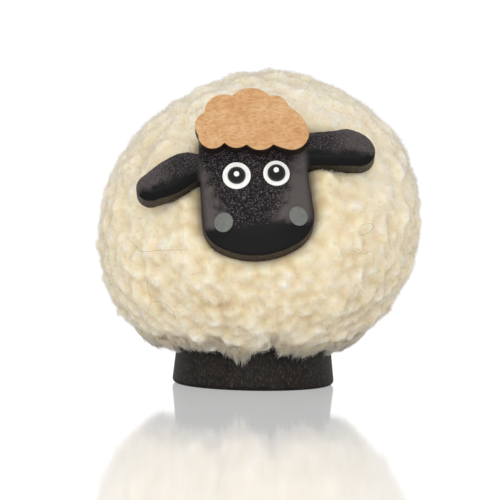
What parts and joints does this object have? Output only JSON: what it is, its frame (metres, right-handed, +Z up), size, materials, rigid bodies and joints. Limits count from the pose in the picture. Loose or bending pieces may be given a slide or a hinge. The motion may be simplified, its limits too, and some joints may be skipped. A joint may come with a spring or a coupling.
{
  "type": "sheep figurine",
  "caption": "Small sheep figurine: cream wool pompom body on a black tapered wooden foot, with a leaning black wooden head and a natural wood topknot.",
  "frame": {"origin": "middle of the foot's underside, on the surface it stands on", "axes": "+Z up, -Y the way the face looks, +X to the viewer's right"},
  "size_m": [0.0606, 0.0616, 0.0588],
  "materials": {
    "black_stained_wood": "satin black stain on turned wood",
    "hot_melt": "milky, slightly glossy",
    "wool_pile": "soft cut pile",
    "binding_yarn": "twisted yarn",
    "black_painted_wood": "satin black paint, grain raised",
    "natural_wood": "bare sanded, edges browned by the cut",
    "white_enamel": "glossy dab of enamel",
    "black_enamel": "glossy dab of enamel",
    "grey_enamel": "flat dab of enamel"
  },
  "bodies": {
    "root": {"foot_block": "black_stained_wood", "foot_glue_pad": "hot_melt", "fleece": "wool_pile", "tie_cord": "binding_yarn", "head_board": "black_painted_wood", "head_glue_pad": "hot_melt", "topknot_board": "natural_wood", "left_eye_white": "white_enamel", "left_pupil": "black_enamel", "left_glint": "white_enamel", "left_nostril": "grey_enamel", "right_eye_white": "white_enamel", "right_pupil": "black_enamel", "right_glint": "white_enamel", "right_nostril": "grey_enamel"}
  },
  "joints": []
}
